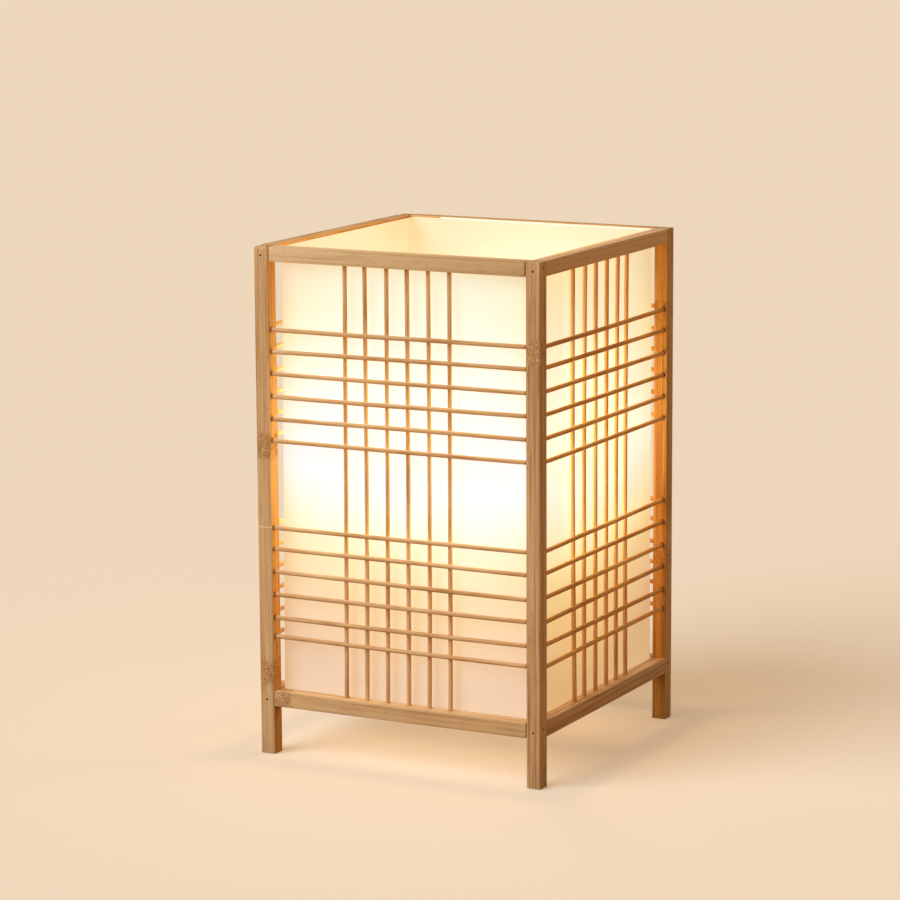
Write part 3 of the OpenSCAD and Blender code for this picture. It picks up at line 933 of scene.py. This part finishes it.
# Where its two layers end on the back wall, and how far the outer layer stands off the inner one
INNER_END = 91 * MM
OUTER_END = -75 * MM
LAYER = 0.525 * MM
# Height of its top edge at its inner end, at each fold in turn and at its outer end
SHEET_TOPS = (361.0, 361.1, 360.8, 360.9, 361.6, 362.0)
# How far the sheet waves, and how far from a fold it is free to do so
SHEET_WAVE = 0.3 * MM
WAVE_FREE = 25 * MM
SHEET_ROWS = 56
WALL_STEPS = 30
FOLD_STEPS = 8


def sheet_line():
    """The sheet's middle line from its inner end on the back, round by the left, to its outer end: place,
    outward normal, height of the top edge, and how free the sheet is to wave there."""
    m = SHADE_HALF - SHEET_T / 2
    r, wide = FOLD_R, FOLD_R + LAYER
    walls = (
        ((INNER_END, m), (-m + r, m)),
        ((-m, m - r), (-m, -m + r)),
        ((-m + r, -m), (m - r, -m)),
        ((m, -m + r), (m, m - r)),
        ((m - wide, m + LAYER), (OUTER_END, m + LAYER)),
    )
    centres = ((-m + r, m - r, r), (-m + r, -m + r, r), (m - r, -m + r, r), (m - wide, m - r, wide))
    line = []
    for k, (start, end) in enumerate(walls):
        start, end = Vector(start), Vector(end)
        ahead = (end - start).normalized()
        out = Vector((ahead.y, -ahead.x))
        for i in range(WALL_STEPS + 1):
            t = i / WALL_STEPS
            at = start.lerp(end, t)
            along = abs(at.dot(ahead))
            free = min(1.0, max(0.0, (m - r - along) / WAVE_FREE))
            top = SHEET_TOPS[k] + (SHEET_TOPS[k + 1] - SHEET_TOPS[k]) * t
            line.append((at, out, top * MM, free))
        if k < len(centres):
            cx, cy, radius = centres[k]
            first = math.atan2(out.y, out.x)
            for i in range(1, FOLD_STEPS):
                a = first + math.pi / 2 * i / FOLD_STEPS
                outward = Vector((math.cos(a), math.sin(a)))
                at = Vector((cx, cy)) + outward * radius
                line.append((at, outward, SHEET_TOPS[k + 1] * MM, 0.0))
    return line


def drift(x, y, z):
    """Where a point of the square sheet lies on the folded one, whose left wall leans."""
    rightward = (x + SHADE_HALF) / (2 * SHADE_HALF)
    backward = (y + SHADE_HALF) / (2 * SHADE_HALF)
    rise = (z - SHADE_FOOT) / (SHADE_TOP - SHADE_FOOT)
    lean = LEAN_FOOT + (LEAN_TOP - LEAN_FOOT) * rise
    return (x + lean * (1 - rightward) + RIGHT_OUT * rightward, y + BACK_OUT * backward, z)


def make_shade():
    line = sheet_line()
    bm = bmesh.new()
    grids = ([], [])
    for at, out, top, free in line:
        columns = ([], [])
        for row in range(SHEET_ROWS + 1):
            z = SHADE_FOOT + (top - SHADE_FOOT) * row / SHEET_ROWS
            bow = noise.noise(Vector((at.x * 13, round(at.y, 3) * 13, z * 7 + 4.2))) * SHEET_WAVE * free
            for column, off in zip(columns, (bow + SHEET_T / 2, bow - SHEET_T / 2)):
                column.append(bm.verts.new(drift(at.x + out.x * off, at.y + out.y * off, z)))
        for grid, column in zip(grids, columns):
            grid.append(column)
    outer, inner = grids
    for i in range(len(line) - 1):
        for j in range(SHEET_ROWS):
            bm.faces.new((outer[i][j], outer[i][j + 1], outer[i + 1][j + 1], outer[i + 1][j]))
            bm.faces.new((inner[i][j], inner[i + 1][j], inner[i + 1][j + 1], inner[i][j + 1]))
        for j in (0, SHEET_ROWS):
            bm.faces.new((outer[i][j], outer[i + 1][j], inner[i + 1][j], inner[i][j]))
    for i in (0, -1):
        for j in range(SHEET_ROWS):
            bm.faces.new((outer[i][j], outer[i][j + 1], inner[i][j + 1], inner[i][j]))
    face_outward(bm)
    mesh = mesh_of(bm, "shade_sheet", shade_paper(), 50)
    shade = piece("folded_shade", mesh, "shade_sheet")


THREAD_SIDES = 72


def threaded(name, node, body, material, profile, pitch, depth, span):
    """A round hollow piece in place of a node, with a right-hand thread in its outside. profile is its
    closed outline as (radius, height, share of the thread), up the outside and down the inside, and span
    is where the thread runs."""
    bm = bmesh.new()
    rings = []
    for radius, z, share in profile:
        fade = min(1.0, max(0.0, (z - span[0]) / pitch), max(0.0, (span[1] - z) / pitch))
        fade = max(0.0, fade) * share
        ring = []
        for a in angles(THREAD_SIDES):
            turn = 2 * math.pi * z / pitch - a
            r = radius - depth * fade * (0.5 - 0.5 * math.cos(turn))
            ring.append(bm.verts.new((r * math.cos(a), r * math.sin(a), z)))
        rings.append(ring)
    for near, far in zip(rings, rings[1:] + rings[:1]):
        band(bm, near, far)
    face_outward(bm)
    piece(name, mesh_of(bm, name, material, 40), node, body)


def climb(radius, low, high, step, share):
    """The outline from low to high at one radius."""
    count = max(1, round(abs(high - low) / step))
    return [(radius, low + (high - low) * i / count, share) for i in range(count + 1)]


CAP_PITCH = 3.629 * MM
CAP_DEPTH = 0.8 * MM
CAP_WALL = 0.4 * MM
TUBE_PITCH = 1.0 * MM
TUBE_DEPTH = 0.45 * MM
TUBE_BORE = 3.6 * MM
# The cap's lip outside its insulator, its shoulder above its foot, and the plain ends of its thread
CAP_LIP = 0.3 * MM
CAP_SHOULDER = 1.5 * MM
CAP_PLAIN_FOOT = 0.6 * MM
CAP_PLAIN_RIM = 1.2 * MM


def make_tube(steel):
    low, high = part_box("holder_tube")
    outline = climb(high.x, low.z, high.z, TUBE_PITCH / 6, 1.0)
    outline += climb(TUBE_BORE, high.z, low.z, (high.z - low.z) / 4, 0.0)
    span = (low.z, high.z)
    threaded("threaded_tube", "holder_tube", "lamp", steel, outline, TUBE_PITCH, TUBE_DEPTH, span)


def make_cap():
    low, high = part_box("bulb_cap")
    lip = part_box("cap_insulator")[1].x + CAP_LIP
    wall = high.x - CAP_WALL
    shoulder = low.z + CAP_SHOULDER
    outside = climb(high.x, shoulder, high.z, CAP_PITCH / 12, 1.0)
    outline = [(lip, low.z, 0.0), (wall, low.z, 0.0)] + outside
    outline += [(r - CAP_WALL, z, share) for r, z, share in reversed(outside)]
    outline += [(wall - CAP_WALL, low.z + CAP_WALL, 0.0), (lip, low.z + CAP_WALL, 0.0)]
    metallic = metal("cap_metal", linear(205, 205, 208), 0.28, 0.75)
    span = (shoulder + CAP_PLAIN_FOOT, high.z - CAP_PLAIN_RIM)
    threaded("threaded_cap", "bulb_cap", "bulb", metallic, outline, CAP_PITCH, CAP_DEPTH, span)


def make_holder_and_bulb():
    steel = metal("zinc_steel", linear(196, 196, 198), 0.32, 0.75)
    brass = metal("brass", linear(214, 172, 92), 0.3, 0.6)
    cream = moulded("holder_plastic", linear(236, 231, 216), 0.38)
    for material, nodes in (
        (steel, ("lock_nut", "nut_washer")),
        (brass, ("screw_sleeve", "centre_tongue")),
        (cream, ("holder_cup", "holder_shell")),
        (moulded("contact_ceramic", linear(226, 222, 212), 0.55), ("contact_block",)),
        (metal("contact_metal", linear(186, 186, 190), 0.4, 0.7), ("bulb_contact",)),
        (moulded("cap_black", linear(34, 32, 32), 0.35), ("cap_insulator",)),
        (moulded("bulb_plastic", linear(238, 237, 233), 0.42), ("bulb_housing",)),
        (moulded("light_board_white", linear(235, 235, 230), 0.5), ("light_board",)),
        (lit_dome(), ("bulb_dome",)),
    ):
        for node in nodes:
            put(node, material)
    make_tube(steel)
    make_cap()


# Studio: the floor and backdrop as seen, the floor as it throws light back far from the lamp and near it,
# the radii between which it changes, and the even light
FLOOR = linear(232, 220, 204)
FLOOR_BRIGHT = (0.20, 0.155, 0.11, 1.0)
FLOOR_BOUNCE = (0.46, 0.235, 0.075, 1.0)
FLOOR_NEAR = (0.22, 0.070, 0.010, 1.0)
FLOOR_CHANGE = (0.14, 0.42)
FLOOR_REACH = 30
FLOOR_STEPS = 12
BACKDROP = linear(236, 216, 194)
AMBIENT = (0.455, 0.345, 0.228, 1.0)
KEY = (0.91, 1.0, 1.06)
KEY_LEVEL = 0.64
KEY_AZIMUTH = math.radians(-30)
KEY_ELEVATION = math.radians(36)
KEY_SPREAD = math.radians(50)
BULB_LIGHT = (1.0, 0.56, 0.20)
BULB_WATTS = 0.7
BULB_SOFT = 30 * MM
# Light that each wall of the shade throws on the wood in front of it, by what it falls on: colour,
# radiance, width, height and middle height
SHADE_LIGHTS = {
    "sticks": (
        ((1.0, 0.90, 0.46), 2.0, 0.17, 0.14, 0.222),
        ((1.0, 0.76, 0.34), 0.38, 0.19, 0.22, 0.25),
    ),
    "right_uprights": (
        ((1.0, 0.80, 0.34), 1.4, 0.17, 0.15, 0.222),
        ((1.0, 0.66, 0.24), 0.3, 0.19, 0.22, 0.25),
    ),
    "frame": (
        ((1.0, 0.94, 0.60), 2.1, 0.17, 0.092, 0.222),
        ((1.0, 0.54, 0.14), 0.12, 0.19, 0.22, 0.26),
    ),
    "foot": (((0.62, 0.84, 1.0), 0.36, 0.19, 0.08, 0.086),),
}
SHADE_LIGHT_OFF = 0.45 * MM
# The front room's warm light along the right side, which the sticks there catch: colour, radiance, place,
# width, height and spread
GRAZING = ((1.0, 0.56, 0.17), 3.2, (0.080, -0.62, 0.235), 0.05, 0.10, math.radians(34))


def sees_background(tree):
    """1 for rays that show the pale background: from the camera, and by way of metal and glass."""
    path = tree.nodes.new("ShaderNodeLightPath").outputs
    seen = path["Is Camera Ray"]
    for ray in ("Is Glossy Ray", "Is Transmission Ray"):
        either = tree.nodes.new("ShaderNodeMath")
        either.operation = "MAXIMUM"
        tree.links.new(seen, either.inputs[0])
        tree.links.new(path[ray], either.inputs[1])
        seen = either.outputs[0]
    return seen


def choose(tree, share, first, second, out):
    """Sends first to out where share is 0, and second where it is 1."""
    node = tree.nodes.new("ShaderNodeMixShader")
    for source, socket in zip((share, first, second), node.inputs):
        tree.links.new(source, socket)
    tree.links.new(node.outputs[0], out)


def make_floor():
    bm = bmesh.new()
    places = [FLOOR_REACH * (2 * i / FLOOR_STEPS - 1) for i in range(FLOOR_STEPS + 1)]
    grid = [[bm.verts.new((x, y, 0)) for y in places] for x in places]
    for a, b in zip(grid, grid[1:]):
        for j in range(FLOOR_STEPS):
            bm.faces.new((a[j], b[j], b[j + 1], a[j + 1]))
    f = Finish("floor_pale", roughness=0.85, specular=0.1)
    floor = placed("floor", mesh_of(bm, "floor", f.material))
    seen = sees_background(f.tree)
    x, y, _ = f.parts(f.place)
    bounce = f.mix(f.fade(f.distance(x, y), *FLOOR_CHANGE), FLOOR_NEAR, FLOOR_BOUNCE)
    f.set("Base Color", f.mix(seen, bounce, FLOOR))
    f.shine(f.mix(seen, BLACK, FLOOR_BRIGHT))
    from_below = f.node("NewGeometry")["Backfacing"]
    clear = f.node("BsdfTransparent")[0]
    choose(f.tree, from_below, f.shader.outputs[0], clear, f.out.inputs["Surface"])
    floor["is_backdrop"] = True
    return floor


def make_world():
    world = bpy.data.worlds.new("world")
    scene.world = world
    world.use_nodes = True
    tree = world.node_tree
    tree.nodes.clear()
    out = tree.nodes.new("ShaderNodeOutputWorld")
    skies = []
    for colour in (AMBIENT, BACKDROP):
        sky = tree.nodes.new("ShaderNodeBackground")
        sky.inputs[0].default_value = colour
        skies.append(sky.outputs[0])
    choose(tree, sees_background(tree), *skies, out.inputs[0])


def light(name, kind, **settings):
    data = bpy.data.lights.new(name, kind)
    for setting, value in settings.items():
        setattr(data, setting, value)
    return placed(name, data)


def make_key():
    """The soft daylight from the front left."""
    key = light("key", "SUN", energy=KEY_LEVEL * math.pi, color=KEY, angle=KEY_SPREAD)
    key.rotation_euler = heading(KEY_AZIMUTH, KEY_ELEVATION).to_track_quat("Z", "Y").to_euler()


def gather(name, objects):
    group = bpy.data.collections.new(name)
    for o in objects:
        group.objects.link(o)
    return group


def make_bulb_light(floor):
    """The bulb's light on the frame and the floor, which the sheet, glowing by itself, would block."""
    glow = light("bulb_light", "POINT", energy=BULB_WATTS, color=BULB_LIGHT, shadow_soft_size=BULB_SOFT)
    low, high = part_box("bulb_dome")
    glow.location = (0, 0, (low.z + high.z) / 2)
    stops = [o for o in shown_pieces() if o.name not in ("folded_shade", "bulb_dome", "light_board")]
    lit = [o for o in stops if o.name != "bulb_housing"]
    glow.light_linking.receiver_collection = gather("lit_by_bulb", lit + [floor])
    glow.light_linking.blocker_collection = gather("stops_bulb_light", stops)


def area_light(name, colour, radiance, width, height):
    energy = radiance * math.pi * width * height
    lamp = light(name, "AREA", shape="RECTANGLE", size=width, size_y=height, color=colour, energy=energy)
    lamp.visible_camera = False
    return lamp


def make_shade_lights():
    """The glow of each wall of the shade on the wood beside it."""
    uprights = [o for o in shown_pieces() if o.name == "upright_sticks_right"]
    sticks = [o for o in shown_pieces() if "sticks" in o.name and o not in uprights]
    foot = [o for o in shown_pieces() if o.name.startswith("bottom_rail")]
    strips = [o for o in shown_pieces() if o.name.endswith("_strip") and o not in foot]
    targets = {"sticks": sticks, "right_uprights": uprights, "frame": strips, "foot": foot}
    lit = {target: gather(f"{target}_lit_by_shade", parts) for target, parts in targets.items()}
    outward = {"front": 0.0, "right": RIGHT_OUT, "back": BACK_OUT + LAYER, "left": -LEAN_FOOT}
    for side in SIDES:
        out = on_side(side, 0, -1, 0)
        reach = SHADE_HALF + SHADE_LIGHT_OFF + outward[side]
        for target, parts in SHADE_LIGHTS.items():
            for k, (colour, level, width, height, middle) in enumerate(parts):
                lamp = area_light(f"shade_on_{target}_{side}_{k}", colour, level, width, height)
                lamp.location = out * reach + Vector((0, 0, middle))
                lamp.rotation_euler = (-out).to_track_quat("Z", "Y").to_euler()
                lamp.light_linking.receiver_collection = lit[target]
    colour, level, place, width, height, spread = GRAZING
    lamp = area_light("grazing_light", colour, level, width, height)
    lamp.data.spread = spread
    lamp.location = place
    toward = Vector((HALF - place[0], -place[1], 0)).normalized()
    lamp.rotation_euler = toward.to_track_quat("-Z", "Y").to_euler()
    lamp.light_linking.receiver_collection = lit["right_uprights"]
    lamp.light_linking.blocker_collection = lit["foot"]


make_camera()
make_frame()
make_sticks()
make_shade()
make_holder_and_bulb()
floor = make_floor()
make_world()
make_key()
make_bulb_light(floor)
make_shade_lights()
scene.view_settings.view_transform = "Standard"
low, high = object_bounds()
